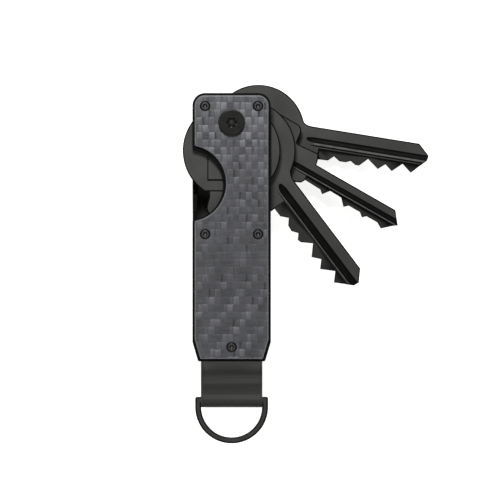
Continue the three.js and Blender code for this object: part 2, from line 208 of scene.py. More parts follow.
def fill_cap(bm, loops):
    """A flat cap bounded by closed loops of vertices, the outer one and any holes. A triangle is
    kept when its middle is inside the outer loop and outside the holes."""
    vertices = [vertex for loop in loops for vertex in loop]
    edges, first = [], 0
    for loop in loops:
        edges += [(first + k, first + (k + 1) % len(loop)) for k in range(len(loop))]
        first += len(loop)
    inside, tolerance = 1, 1e-6
    found = delaunay_2d_cdt([v.co.xy for v in vertices], edges, [], inside, tolerance)
    triangles, sources = found[2], [vertices[originals[0]] for originals in found[3]]
    starts, ends = [np.array([vertices[pair[k]].co.xy for pair in edges]) for k in (0, 1)]
    for triangle in triangles:
        corner_vertices = [sources[k] for k in triangle]
        x, y = sum((v.co.xy for v in corner_vertices), Vector((0, 0))) / 3
        spans = (starts[:, 1] > y) != (ends[:, 1] > y)
        low, high = starts[spans], ends[spans]
        crossing = low[:, 0] + (y - low[:, 1]) * (high - low)[:, 0] / (high - low)[:, 1]
        if np.count_nonzero(crossing > x) % 2:
            bm.faces.new(corner_vertices)


def plate_mesh(boundaries):
    """A plate whose outer outline and holes each have an edge profile. Outlines run with the
    material on their left."""
    bm = bmesh.new()
    painted_light_and_wear = bm.verts.layers.float.new("painted_light_and_wear")
    caps = ([], [])
    for outline, profile in boundaries:
        rings = []
        for inset, z, lit_and_worn in profile:
            ring = [bm.verts.new((x, y, z)) for x, y in offset_loop(outline, inset)]
            for vertex in ring:
                vertex[painted_light_and_wear] = stored_light_and_wear(lit_and_worn)
            rings.append(ring)
        skin_rings(bm, rings)
        caps[0].append(rings[0])
        caps[1].append(rings[-1])
    for loops in caps:
        fill_cap(bm, loops)
    return bm


def plate(name, boundaries):
    return finish_mesh(plate_mesh(boundaries), name)


SOCKET_LOBES = 6


def turned_mesh(profile, steps=72, closed=False):
    """A turned solid from (radius, z), (radius, z, lobe depth) or (radius, z, lobe depth, painted
    light and wear) points. Radius 0 ends on the axis."""
    bm = bmesh.new()
    painted_light_and_wear = bm.verts.layers.float.new("painted_light_and_wear")
    rings = []
    for radius, z, *more in profile:
        lobe, lit_and_worn = (*more, 0, 0)[:2]
        if radius == 0:
            tip = bm.verts.new((0, 0, z))
            tip[painted_light_and_wear] = stored_light_and_wear(lit_and_worn)
            rings.append(tip)
            continue
        angles = [2 * math.pi * k / steps for k in range(steps)]
        radii = [radius + lobe * math.cos(SOCKET_LOBES * a) for a in angles]
        ring = [bm.verts.new((r * math.cos(a), r * math.sin(a), z)) for r, a in zip(radii, angles)]
        for vertex in ring:
            vertex[painted_light_and_wear] = stored_light_and_wear(lit_and_worn)
        rings.append(ring)
    for low, high in zip(rings, rings[1:] + (rings[:1] if closed else [])):
        if isinstance(low, list) and isinstance(high, list):
            skin_rings(bm, [low, high])
        else:
            ring, tip = (high, low) if isinstance(high, list) else (low, high)
            for k in range(steps):
                bm.faces.new((ring[k], ring[(k + 1) % steps], tip))
    return bm


def turned(name, profile, spot, steps=72, closed=False, upside_down=False):
    """A turned object whose axis passes through spot."""
    bm = turned_mesh(profile, steps, closed)
    if upside_down:
        bmesh.ops.transform(bm, matrix=Matrix.Rotation(math.pi, 4, "Y"), verts=bm.verts[:])
    bmesh.ops.translate(bm, vec=Vector(spot), verts=bm.verts[:])
    return finish_mesh(bm, name)


def combine(piece, joined=(), cut=(), solver="MANIFOLD"):
    """Joins closed meshes to a piece, then cuts others out of it, and keeps only the result."""
    steps = [("UNION", other) for other in joined] + [("DIFFERENCE", other) for other in cut]
    for operation, other in steps:
        boolean = piece.modifiers.new("combine", "BOOLEAN")
        boolean.operation = operation
        boolean.solver = solver
        boolean.object = other
    bpy.context.view_layer.update()
    evaluated = piece.evaluated_get(bpy.context.evaluated_depsgraph_get())
    mesh = bpy.data.meshes.new_from_object(evaluated)
    piece.modifiers.clear()
    old = piece.data
    piece.data = mesh
    bpy.data.meshes.remove(old)
    mesh.name = piece.name
    mesh.shade_smooth()
    mesh.set_sharp_from_angle(angle=math.radians(SHARP_DEGREES))
    for _, other in steps:
        bpy.data.objects.remove(other)
    return piece


def keep_layout(piece):
    """Stores where each point of a piece lies before the piece is turned, for its finish."""
    layout = piece.data.attributes.new("layout", "FLOAT_VECTOR", "POINT")
    points = np.empty(len(piece.data.vertices) * 3)
    piece.data.vertices.foreach_get("co", points)
    layout.data.foreach_set("vector", points)


def place(piece, body, material, replaced):
    """Gives a piece its finish and its body, and hides the CAD node it stands for."""
    piece.data.materials.clear()
    piece.data.materials.append(material)
    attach(piece, body)
    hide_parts(replaced)


# ---- materials
class Shader:
    """A node material with short calls. An input is a number, a colour or another node's socket."""

    def __init__(self, name):
        self.material = bpy.data.materials.new(name)
        self.material.use_nodes = True
        self.tree = self.material.node_tree
        self.surface = self.tree.nodes["Principled BSDF"]
        self.position = self.node("ShaderNodeTexCoord").outputs["Object"]

    def node(self, kind, inputs=(), **settings):
        made = self.tree.nodes.new(kind)
        for key, value in settings.items():
            setattr(made, key, value)
        for key, value in dict(inputs).items():
            self.feed(made.inputs[key], value)
        return made

    def feed(self, socket, value):
        if isinstance(value, bpy.types.NodeSocket):
            self.tree.links.new(value, socket)
        else:
            socket.default_value = value

    def set(self, **values):
        for key, value in values.items():
            self.feed(self.surface.inputs[key.replace("_", " ")], value)

    def math(self, operation, a, b=0.0, clamp=False):
        made = self.node("ShaderNodeMath", {0: a, 1: b}, operation=operation, use_clamp=clamp)
        return made.outputs[0]

    def times(self, a, b, clamp=False):
        return self.math("MULTIPLY", a, b, clamp)

    def plus(self, a, b):
        return self.math("ADD", a, b)

    def mix(self, share, a, b):
        made = self.node("ShaderNodeMix", data_type="RGBA")
        for index, value in ((0, share), (6, a), (7, b)):
            self.feed(made.inputs[index], value)
        return made.outputs[2]

    def blend(self, share, a, b):
        made = self.node("ShaderNodeMix", {0: share, 2: a, 3: b}, data_type="FLOAT")
        return made.outputs[0]

    def ramp(self, value, low, high, to_low=0.0, to_high=1.0, smooth=True):
        made = self.node("ShaderNodeMapRange", {
            "Value": value, "From Min": low, "From Max": high, "To Min": to_low,
            "To Max": to_high}, interpolation_type="SMOOTHSTEP" if smooth else "LINEAR")
        return made.outputs[0]

    def stretched(self, per_mm):
        """The position in units of texture cells, with its own number of cells per mm each way."""
        made = self.node("ShaderNodeVectorMath", {
            0: self.position, 1: [n / MM for n in per_mm]}, operation="MULTIPLY")
        return made.outputs[0]

    def noise(self, per_mm, detail=3.0, roughness=0.5):
        made = self.node("ShaderNodeTexNoise", {
            "Vector": self.stretched(per_mm), "Scale": 1.0, "Detail": detail,
            "Roughness": roughness})
        return made.outputs[0]

    def bump(self, height, depth_mm, normal=None):
        inputs = {"Height": height, "Strength": 1.0, "Distance": depth_mm * MM}
        made = self.node("ShaderNodeBump", inputs)
        if normal is not None:
            self.feed(made.inputs["Normal"], normal)
        return made.outputs[0]

    def swing(self, value, size):
        """A value from 0 to 1 turned into one from minus half of size to half of it."""
        return self.times(self.math("SUBTRACT", value, 0.5), size)

    def painted_light_and_wear(self):
        """Painted light and wear, from -1, shade painted as a thick coating, to 1, a highlight painted
        as rubbed-off coating.
        """
        stored = self.node("ShaderNodeAttribute", attribute_name="painted_light_and_wear").outputs["Fac"]
        return self.ramp(stored, 0, 1, -1, 1, smooth=False)

    def highlit_and_rubbed(self, most=1.0):
        """How much highlight is painted, as coating rubbed off, from 0 to most."""
        return self.ramp(self.painted_light_and_wear(), 0.0, 1.0, 0.0, most, False)

    def shaded_and_coated(self, full=-1.0):
        """How much shade is painted, as a thick coating, from 0 to 1 where the value reaches full."""
        return self.ramp(self.painted_light_and_wear(), 0.0, full, 0.0, 1.0, False)


def grey(level, tint=(1.0, 1.0, 1.0)):
    return (level * tint[0], level * tint[1], level * tint[2], 1.0)


WARM = (1.0, 1.0, 0.93)
COOL = (0.97, 0.98, 1.08)


# Where a cell of the twill starts and how large a cell is, as (across, along) the covers, after how
# many cells the pattern repeats, and how wide a strip a tow's edge wanders in.
TWILL_ORIGIN = (-1.28, 16.0)
TWILL_CELL = (1.714, 2.08)
TWILL_REPEAT = 4.0
TWILL_WANDER = 0.7
PLY_PITCH = 0.22


def twill_cells(s, axes):
    """The column and row of the cell at a point, and its place across and along that cell."""
    drift = [s.swing(s.noise(scale, 2), TWILL_WANDER * MM)
             for scale in ((0.35, 0.5, 0.1), (0.5, 0.35, 0.1))]
    places = [s.plus(axes.outputs[k], drift[k]) for k in (0, 1)]
    cells = [s.math("DIVIDE", s.math("SUBTRACT", places[k], TWILL_ORIGIN[k] * MM),
                    TWILL_CELL[k] * MM) for k in (0, 1)]
    return [s.math("FLOOR", c) for c in cells] + [s.math("FRACT", c) for c in cells]


def laminate_edge(s, axes):
    """The plies that show on the cut sides of a cover, and how much a surface is such a side."""
    facing = s.node("ShaderNodeNewGeometry").outputs["Normal"]
    upward = s.node("ShaderNodeSeparateXYZ", {0: facing}).outputs[2]
    is_side = s.ramp(s.math("ABSOLUTE", upward), 0.5, 0.6, 1.0, 0.0)
    turns = s.times(axes.outputs[2], 2 * math.pi / (PLY_PITCH * MM))
    plies = s.math("SINE", turns)
    return s.mix(s.ramp(plies, -1, 1), grey(0.012), grey(0.04, COOL)), is_side


def carbon_material():
    """Twill of carbon tows under a thin clear surface, its diagonals rising to the right. Warp tows
    show as upright cells and weft tows run between them. The warp cells are painted bright, a
    painted sheen brightest near each cell's top, the weft cells carry painted shade low in each
    cell, and the whole plate is painted lighter towards the top."""
    s = Shader("carbon_twill")
    axes = s.node("ShaderNodeSeparateXYZ", {0: s.position})
    column, row, across, along = twill_cells(s, axes)
    diagonal = s.plus(s.math("SUBTRACT", column, row), 1.5)
    step = s.math("FLOORED_MODULO", diagonal, TWILL_REPEAT)

    def is_step(number):
        return s.math("COMPARE", step, number + 0.5)

    tow_seed = s.node("ShaderNodeCombineXYZ", {0: column, 1: row}).outputs[0]
    random = s.node("ShaderNodeTexWhiteNoise", {0: tow_seed}).outputs[0]
    towards_pivot = s.ramp(axes.outputs[1], -12 * MM, 22 * MM)
    reach = s.plus(across, s.times(random, 0.3))
    beside = s.times(s.ramp(reach, 0.45, 0.7), is_step(3))
    between = s.times(is_step(2), s.times(towards_pivot, 0.75))
    warp = s.plus(s.plus(is_step(0), s.times(beside, 0.75)), between)

    warp_fibres = s.noise((2.6, 0.3, 0.3), 5, 0.75)
    weft_fibres = s.noise((0.3, 2.6, 0.3), 5, 0.75)
    fibres = s.blend(warp, weft_fibres, warp_fibres)
    side_gap = s.math("MINIMUM", s.ramp(across, 0, 0.14), s.ramp(across, 1, 0.9))
    end_gap = s.math("MINIMUM", s.ramp(along, 0, 0.1), s.ramp(along, 1, 0.95))
    edge = s.times(s.blend(warp, 1.0, side_gap), end_gap)
    # Painted highlight along each warp cell, brightest near its top (crest).
    climb = s.ramp(along, 0.0, 0.85, 0.25, 0.7, False)
    rise = s.plus(climb, s.ramp(along, 0.66, 0.86, 0.0, 0.3))
    slant = s.ramp(across, 0.0, 1.0, 1.1, 0.75, False)
    crest = s.times(s.times(rise, slant), edge)
    valley = s.ramp(along, 0.0, 0.5, 0.0, 1.0)

    # The painted sheen is stronger towards the top, as painted light, and varies in patches and in a
    # band across the plate.
    areas = s.ramp(s.noise((0.09, 0.05, 0.1), 2), 0.35, 0.6, 0.55, 1.0)
    strength = s.times(areas, s.blend(towards_pivot, 0.7, 1.0))
    from_band = s.math("ABSOLUTE", s.plus(axes.outputs[1], 9 * MM))
    strength = s.times(strength, s.ramp(from_band, 2.5 * MM, 9 * MM, 0.4, 1.0))
    lit = s.times(s.times(warp, crest), strength)
    lit = s.times(lit, s.ramp(random, 0, 1, 0.35, 1.35, False))
    strands = s.swing(fibres, s.blend(warp, 0.45, 0.85))
    clouds = s.swing(s.noise((0.22, 0.16, 0.2), 3), 0.5)
    shade = s.plus(s.plus(s.swing(random, 0.1), strands), clouds)
    beside_tow = s.times(is_step(3), s.math("LESS_THAN", across, 0.25))
    gap = s.times(s.math("LESS_THAN", random, 0.22), beside_tow)
    light = s.plus(s.plus(0.28, s.times(lit, 0.84)), shade)
    light = s.math("SUBTRACT", light, s.times(gap, 0.25), clamp=True)
    # Painted shade low in each weft cell, where its tow dips under.
    raised = s.blend(warp, s.times(valley, 0.8), 1.0)
    light = s.times(light, s.blend(raised, 0.88, 1.0))
    # Painted light: the plate is lighter towards the top.
    painted_light_towards_top = s.ramp(axes.outputs[1], 8 * MM, 34 * MM, 0.8, 1.0)
    light = s.times(light, painted_light_towards_top)
    woven = s.mix(light, grey(0.022, COOL), grey(0.19, COOL))

    laminate, is_side = laminate_edge(s, axes)
    # Painted highlight on the chamfers and hole edges, and painted shade, near black, in the
    # countersinks (shadowed).
    painted_edge_highlight = s.mix(s.highlit_and_rubbed(0.8), woven, grey(0.125, COOL))
    shadowed = s.mix(s.shaded_and_coated(), painted_edge_highlight, grey(0.003))
    bare_side = s.times(is_side, s.ramp(s.painted_light_and_wear(), 0.0, -1.0, 1.0, 0.0, False))
    s.set(Base_Color=s.mix(bare_side, shadowed, laminate))
    s.set(Roughness=s.ramp(fibres, 0.3, 0.7, 0.36, 0.5), Specular_IOR_Level=0.45)
    s.set(Coat_Weight=0.25, Coat_Roughness=0.3)
    height = s.times(s.plus(s.times(warp, 0.5), 0.5), edge)
    s.set(Normal=s.bump(fibres, 0.010, s.bump(height, 0.02)))
    return s.material


def anodised_material():
    """Bead-blasted aluminium, black anodised. The rear liner's upper face is painted lighter: painted
    light on that deep face, and burnish where hands or keys rub it.
    """
    s = Shader("black_anodised")
    blast = s.noise((9, 9, 9), 4, 0.6)
    smudges = s.noise((0.25, 0.18, 0.25), 3, 0.55)
    base = s.mix(s.ramp(smudges, 0.3, 0.7), grey(0.0015), grey(0.005, WARM))
    patches = s.ramp(s.noise((0.6, 0.3, 1.2), 3), 0.3, 0.7, 0.8, 1.0)
    # Painted light on the rear liner's upper face, which also stands for burnish.
    painted_light_and_burnish = s.times(s.painted_light_and_wear(), patches, clamp=True)
    s.set(Base_Color=s.mix(painted_light_and_burnish, base, grey(0.055, WARM)))
    s.set(Metallic=s.blend(painted_light_and_burnish, 0.0, 0.3), Roughness=s.ramp(blast, 0.3, 0.7, 0.42, 0.56))
    s.set(Specular_IOR_Level=s.blend(painted_light_and_burnish, 0.07, 0.3))
    s.set(Normal=s.bump(blast, 0.012))
    return s.material


def screw_material(name="black_oxide", lathe_centre=None, level=0.03):
    """Black oxide steel, with the fine circles of a lathe when it has a centre. Negative values paint
    shade near black, drawn as deep coating, and positive ones paint glints of bare metal.
    """
    s = Shader(name)
    grain = s.noise((14, 14, 14), 3, 0.6)
    if lathe_centre is None:
        rings = grain
    else:
        axes = s.node("ShaderNodeSeparateXYZ", {0: s.position})
        dx, dy = [s.math("SUBTRACT", axes.outputs[k], c * MM) for k, c in enumerate(lathe_centre)]
        radius = s.math("SQRT", s.plus(s.times(dx, dx), s.times(dy, dy)))
        rings = s.node("ShaderNodeTexNoise", {
            "Vector": s.node("ShaderNodeCombineXYZ", {0: radius}).outputs[0],
            "Scale": 16 / MM, "Detail": 3.0}).outputs[0]
    patches = s.noise((0.5, 0.5, 0.5), 3)
    base = s.mix(s.ramp(patches, 0.3, 0.7), grey(level * 0.8, WARM), grey(level * 1.25, WARM))
    # Painted shade where the value is negative (deep), painted glints where it is positive.
    highlit_and_rubbed, deep = s.highlit_and_rubbed(), s.shaded_and_coated()
    s.set(Base_Color=s.mix(deep, s.mix(highlit_and_rubbed, base, grey(0.5, COOL)), grey(0.004)))
    s.set(Metallic=s.blend(highlit_and_rubbed, 0.4, 1.0), Roughness=s.ramp(grain, 0.3, 0.7, 0.3, 0.42))
    s.set(Specular_IOR_Level=s.blend(deep, 0.4, 0.1))
    s.set(Normal=s.bump(rings, 0.006))
    return s.material


def key_material():
    """Key blanks under a matt black-grey coating with draw lines along the blade. Painted shade,
    drawn as thick dark coating, fills the milled parts and runs round the edges, and painted
    highlights, drawn as worn coating, lie on the ridges and along the edges."""
    s = Shader("coated_key")
    s.position = s.node("ShaderNodeAttribute", attribute_name="layout").outputs["Vector"]
    grain = s.noise((11, 11, 11), 4, 0.62)
    lines = s.noise((0.35, 9, 2), 3, 0.6)
    smudges = s.noise((0.12, 0.16, 0.4), 3, 0.5)
    along = s.node("ShaderNodeSeparateXYZ", {0: s.position}).outputs[0]
    blade = s.ramp(along, 18 * MM, 36 * MM, 0.0, 0.45)
    base = s.mix(s.ramp(smudges, 0.3, 0.7), grey(0.036, WARM), grey(0.052, WARM))
    base = s.mix(s.ramp(grain, 0.5, 0.8, 0.0, 0.3), base, grey(0.075, WARM))
    base = s.mix(s.ramp(lines, 0.45, 0.75, 0.0, 0.3), base, grey(0.026, WARM))
    base = s.mix(blade, base, grey(0.018))
    uneven = s.ramp(s.noise((0.8, 0.8, 0.8), 3), 0.3, 0.65, 0.45, 1.0)
    # Painted highlights on the ridges and edge lines, drawn as rubbed coating.
    highlit_and_rubbed = s.times(s.highlit_and_rubbed(), uneven)
    streaks = s.ramp(s.noise((0.5, 3.0, 3.0), 3), 0.3, 0.6, 0.95, 1.0)
    # thick holds painted shade in the milled parts and round the edges, drawn as thick coating.
    thick = s.times(s.shaded_and_coated(-0.9), streaks)
    s.set(Base_Color=s.mix(thick, s.mix(highlit_and_rubbed, base, grey(0.17, WARM)), grey(0.0015)))
    s.set(Metallic=s.blend(thick, 0.3, 0.0), Roughness=s.ramp(lines, 0.3, 0.7, 0.44, 0.58))
    s.set(Specular_IOR_Level=s.blend(thick, 0.5, 0.06))
    s.set(Normal=s.bump(lines, 0.012, s.bump(grain, 0.010)))
    return s.material


def nylon_material():
    """Moulded black nylon with a faint texture."""
    s = Shader("washer_nylon")
    grain = s.noise((6, 6, 6), 4, 0.6)
    s.set(Base_Color=s.mix(s.ramp(grain, 0.3, 0.7), grey(0.010), grey(0.02)))
    s.set(Roughness=s.ramp(grain, 0.3, 0.7, 0.5, 0.66), Normal=s.bump(grain, 0.015))
    return s.material


# Spacing of the webbing's crosswise and lengthwise threads
WEFT_PITCH = 0.34
WARP_PITCH = 0.30


def webbing_material():
    """Tight plain-woven nylon webbing with fine crosswise ribs. It is darker at its sides, carries
    painted shade beside the ring's bar, in a band where it tilts and at the loop's lower side, and
    painted light towards the covers, against their shadow. cloth holds the place across and along
    the strip, and the distance from the middle of its length, in millimetres."""
    s = Shader("nylon_webbing")
    layout = s.node("ShaderNodeAttribute", attribute_name="cloth").outputs["Vector"]
    axes = s.node("ShaderNodeSeparateXYZ", {0: layout})
    across = s.math("DIVIDE", axes.outputs[0], WARP_PITCH)
    along = s.math("DIVIDE", axes.outputs[1], WEFT_PITCH)
    cell = s.plus(s.math("FLOOR", across), s.math("FLOOR", along))
    turn = s.times(cell, math.pi)
    over = s.times(s.math("COSINE", turn), 0.25)
    rib = s.math("ABSOLUTE", s.math("SINE", s.times(along, math.pi)))
    thread = s.math("ABSOLUTE", s.math("SINE", s.times(across, math.pi)))
    height = s.times(s.plus(0.75, over), s.times(rib, thread))

    def cloth_noise(scale, detail=3.0):
        place_in_cloth = s.node("ShaderNodeVectorMath", {0: layout, 1: scale}, operation="MULTIPLY")
        return s.node("ShaderNodeTexNoise", {
            "Vector": place_in_cloth.outputs[0], "Scale": 1.0, "Detail": detail}).outputs[0]

    fibres = cloth_noise((18.0, 5.0, 1.0))
    bands = cloth_noise((0.03, 1.1, 1.0), 4.0)
    share = s.plus(s.times(height, 0.6), s.times(fibres, 0.3))
    cloth_colour = s.mix(share, grey(0.016, WARM), grey(0.047, WARM))
    cloth_colour = s.mix(s.ramp(bands, 0.35, 0.65, 0.0, 0.55), cloth_colour, grey(0.05, WARM))
    # Painted shade in a band where the strip tilts down towards the bar; the strip is also darker at
    # its sides.
    from_bar = axes.outputs[2]
    band = s.times(s.ramp(from_bar, 3.2, 4.0), s.ramp(from_bar, 7.5, 6.9))
    from_centreline = s.math("ABSOLUTE", axes.outputs[0])
    painted_shade_and_dark_sides = s.math("MAXIMUM", band, s.ramp(from_centreline, 7.5, 8.3))
    # Painted shade at the loop's lower side, beside the bar.
    at_bar = s.ramp(from_bar, 2.7, 1.3, 0.0, 0.92)
    painted_shade_and_dark_sides = s.math("MAXIMUM", s.times(painted_shade_and_dark_sides, 0.45), at_bar)
    # Painted light towards the covers, against the shadow they cast.
    painted_light_near_covers = s.ramp(from_bar, 9.0, 12.0, 0.0, 1.0)
    cloth_colour = s.mix(painted_light_near_covers, cloth_colour, s.mix(bands, grey(0.13, WARM), grey(0.2, WARM)))
    s.set(Base_Color=s.mix(painted_shade_and_dark_sides, cloth_colour, grey(0.006)))
    s.set(Roughness=s.ramp(fibres, 0.3, 0.7, 0.6, 0.78), Specular_IOR_Level=0.35)
    s.set(Sheen_Weight=0.1, Sheen_Roughness=0.5)
    s.set(Normal=s.bump(fibres, 0.008, s.bump(height, 0.03)))
    return s.material


def ring_material():
    """Steel wire under a black-grey coating, with painted shade round the edges, drawn as thick
    coating.
    """
    s = Shader("coated_ring")
    grain = s.noise((10, 10, 10), 4, 0.6)
    patches = s.noise((0.45, 0.45, 0.45), 3)
    base = s.mix(s.ramp(patches, 0.3, 0.7), grey(0.026, WARM), grey(0.038, WARM))
    streaks = s.ramp(s.noise((0.9, 0.9, 0.9), 3), 0.3, 0.6, 0.75, 1.0)
    # thick holds painted shade on the wire's round sides, drawn as thick coating.
    thick = s.times(s.shaded_and_coated(), streaks)
    s.set(Base_Color=s.mix(thick, base, grey(0.005)))
    s.set(Metallic=0.3, Roughness=s.ramp(grain, 0.3, 0.7, 0.42, 0.56))
    s.set(Specular_IOR_Level=s.blend(thick, 0.5, 0.15))
    s.set(Normal=s.bump(grain, 0.012))
    return s.material


CARBON = carbon_material()
ANODISED = anodised_material()
SCREW = screw_material()
PIVOT_STEEL = screw_material("black_oxide_turned", (PIVOT.x, PIVOT.y), 0.013)
KEY = key_material()
NYLON = nylon_material()
WEBBING = webbing_material()
RING = ring_material()


# ---- camera, light and floor
VIEW_WIDTH = 138.9
CAMERA_HEIGHT = 6000
SENSOR_WIDTH = 36
VIEW_CENTRE = (PIVOT.x + 5.11, PIVOT.y - 35.39)
CLIP_END = 100
WORLD_LIGHT = 0.11
FLOOR_HALF_WIDTH = 3000
FLOOR_LEVEL = -0.1
# Lamps as (name, place, width, power in watts), each facing the origin
PANELS = (
    ("top_panel", (-40, 280, 390), 130, 1.95),
    ("right_panel", (380, 120, 330), 150, 0.24),
    ("left_panel", (-380, 120, 330), 150, 0.24),
    ("low_panel", (0, -360, 340), 220, 0.66),
)


def make_camera():
    """A distant camera straight above the object, so that it is seen almost without perspective."""
    camera = bpy.data.objects.new("camera", bpy.data.cameras.new("camera"))
    bpy.context.scene.collection.objects.link(camera)
    camera.data.sensor_width = SENSOR_WIDTH
    camera.data.lens = SENSOR_WIDTH * (CAMERA_HEIGHT - FRONT_FACE) / VIEW_WIDTH
    camera.location = Vector((*VIEW_CENTRE, CAMERA_HEIGHT)) * MM
    camera.data.clip_end = CLIP_END
    bpy.context.scene.camera = camera


def make_light():
    world = bpy.data.worlds.new("studio")
    world.use_nodes = True
    background = world.node_tree.nodes["Background"]
    background.inputs["Color"].default_value = (1, 1, 1, 1)
    background.inputs["Strength"].default_value = WORLD_LIGHT
    bpy.context.scene.world = world
    bpy.context.scene.view_settings.view_transform = "Standard"
    for name, spot, size, power in PANELS:
        lamp = bpy.data.lights.new(name, "AREA")
        lamp.energy = power
        lamp.size = size * MM
        panel = bpy.data.objects.new(name, lamp)
        panel.location = Vector(spot) * MM
        panel.rotation_mode = "QUATERNION"
        panel.rotation_quaternion = Vector(spot).to_track_quat("Z", "Y")
        bpy.context.scene.collection.objects.link(panel)


def make_floor():
    """A plain pale floor that glows a little, so that shadows on it stay faint."""
    floor = bpy.data.objects.new("floor", bpy.data.meshes.new("floor"))
    size, level = FLOOR_HALF_WIDTH * MM, FLOOR_LEVEL * MM
    corners_xy = ((-size, -size), (size, -size), (size, size), (-size, size))
    floor.data.from_pydata([(x, y, level) for x, y in corners_xy], [], [(0, 1, 2, 3)])
    bpy.context.scene.collection.objects.link(floor)
    s = Shader("pale_floor")
    s.set(Base_Color=(0.8, 0.8, 0.795, 1), Roughness=0.9)
    s.set(Emission_Color=(1, 1, 0.99, 1), Emission_Strength=0.85)
    floor.data.materials.append(s.material)


make_camera()
make_light()
make_floor()


# ---- covers
def cover_outline(inset, notched, notch_lead=0.0):
    """Outline of a cover plate, anticlockwise, with the thumb notch on its left if it has one.
    notch_lead is how far the upper side of the notch comes down below its true circle."""
    low, high = corners("rear_liner")
    side, top, bottom = high.x - inset, high.y - inset, low.y + inset
    radius = TOP_CORNER_RADIUS - inset
    across, up = TAIL_CHAMFER
    points = arc((side - radius, top - radius), radius, 0, 90, 10)
    points += arc((radius - side, top - radius), radius, 90, 180, 10)
    if notched:
        notch = NOTCH_RADIUS + inset - notch_lead / 3
        centre = (NOTCH_CENTRE[0], NOTCH_CENTRE[1] - notch_lead)
        rise = math.sqrt(notch ** 2 - (side + centre[0]) ** 2)
        angle = math.degrees(math.atan2(rise, -side - centre[0]))
        corner_up, corner_down = [(-side, centre[1] + way * rise) for way in (1, -1)]
        trim = 3
        curve = arc(centre, notch, angle - trim, trim - angle, 44)
        points += [(-side, corner_up[1] + 0.5)]
        points += bend(points[-1], corner_up, curve[0], 3) + curve
        points += bend(curve[-1], corner_down, (-side, corner_down[1] - 0.5), 3)
        points += [(-side, corner_down[1] - 0.5)]
    tail = [(-side, bottom + up, 1.2), (across - side, bottom, 0.5), (side - across, bottom, 0.5),
            (side, bottom + up, 1.2)]
    start, end = points[-1], points[0]
    rounded = rounded_corners([(*start, 0), *tail, (*end, 0)], 3)
    return points + rounded[1:-1]


def countersink(face, inner):
    """Profile of a countersunk hole in a plate, from the plate's lower side to its upper. face is
    the outer side, where the screw's head lies."""
    sink = COUNTERSINK_RADIUS - SCREW_HOLE_RADIUS
    rim = 0.05
    out = 1 if face > inner else -1
    # The cone is marked -1, painted shade, and its rim 0.3, a painted highlight.
    profile = [
        (SUPPORT, inner, -1), (0, inner, -1), (0, face - out * sink, -1),
        (sink - rim, face - out * rim, -1), (sink, face, 0.3), (sink + 0.1, face, 0),
    ]
    return profile if face > inner else profile[::-1]


def screw_holes(profile, steps):
    return [(circle(p.xy, SCREW_HOLE_RADIUS, steps), profile) for p in SCREW_PLACES.values()]


def make_carbon_plates():
    """The two carbon-fibre covers. The rear one has no notch, and is chamfered underneath."""
    hole_edge = 0.1
    low, high = corners("front_carbon_plate")
    front = plate("front_cover_plate", [
        (cover_outline(CARBON_INSET, True), chamfer_edge(low.z, high.z, *CARBON_CHAMFER)),
        (circle(PIVOT.xy, PIVOT_HOLE_RADIUS), round_edge(low.z, high.z, hole_edge)),
        *screw_holes(countersink(high.z, low.z), 48),
    ])
    place(front, "covers", CARBON, "front_carbon_plate")

    low, high = corners("rear_carbon_plate")
    flange_clearance = 0.1
    flange_hole = (corners("pivot_barrel_nut")[1].x - PIVOT.x) + flange_clearance
    flipped = [(inset, low.z + high.z - z, lit_and_worn)
               for inset, z, lit_and_worn in chamfer_edge(low.z, high.z, *CARBON_CHAMFER)][::-1]
    rear = plate("rear_cover_plate", [
        (cover_outline(CARBON_INSET, False), flipped),
        (circle(PIVOT.xy, flange_hole), round_edge(low.z, high.z, hole_edge)),
        *screw_holes(countersink(low.z, high.z), 48),
    ])
    place(rear, "covers", CARBON, "rear_carbon_plate")


def make_liners():
    """The two anodised plates inside the covers. The rear one's upper face is marked to be painted
    lighter: painted light, and burnish where the keys sweep it.
    """
    for name, notched in (("front_liner", True), ("rear_liner", False)):
        low, high = corners(name)
        lit_and_swept = 0 if notched else 1
        outer, bore, screw = [
            [(inset, z, lit_and_swept if z == high.z else 0)
             for inset, z, _ in round_edge(low.z, high.z, radius)]
            for radius in (0.12, 0.08, 0.06)]
        liner = plate(f"{name}_plate", [
            (cover_outline(0, notched, LINER_NOTCH_LEAD), outer),
            (circle(PIVOT.xy, PIVOT_HOLE_RADIUS), bore),
            *screw_holes(screw, 32),
        ])
        place(liner, "covers", ANODISED, name)


# ---- screws, posts, pivot, washers
def make_screws():
    """Countersunk screws with six-lobe sockets. Each is drawn with its head's face at z = 0."""
    for cover in ("front", "rear"):
        for name, spot in SCREW_PLACES.items():
            node = f"{cover}_screw_{name}"
            low, high = corners(node)
            head, length = (high.x - low.x) / 2, high.z - low.z
            shank = SCREW_HOLE_RADIUS - 0.06
            cone = head - shank
            # The head's rim and the socket's walls are marked -1, painted shade, and its face, lobes
            # and floor small positive values, painted glints.
            profile = [
                (0, -length), (shank - 0.1, -length), (shank, -length + 0.1), (shank, -cone),
                (head - 0.01, -0.1, 0, -1), (head - 0.2, -0.02, 0, -1), (head - 0.28, 0, 0, 0.1),
                (head - 0.34, 0, 0, 0.1), (0.84, 0, 0.05, 0.1), (0.7, 0, 0.08, 0.2),
                (0.64, -0.05, 0.09, -0.5), (0.62, -0.1, 0.09, -1), (0.58, -0.3, 0.09, -1),
                (0.4, -0.34, 0.03, -0.8), (0.28, -0.39, 0, 0.0), (0, -0.5, 0, 0.12),
            ]
            face = high.z if cover == "front" else low.z
            piece = turned(f"{node}_piece", profile, (spot.x, spot.y, face),
                           upside_down=cover == "rear")
            place(piece, "covers", SCREW, node)


def tube_profile(outer, inner, low, high, edge):
    """A sleeve's closed profile, with all four edges broken."""
    return [
        (inner + edge, low), (outer - edge, low), (outer, low + edge), (outer, high - edge),
        (outer - edge, high), (inner + edge, high), (inner, high - edge), (inner, low + edge),
    ]


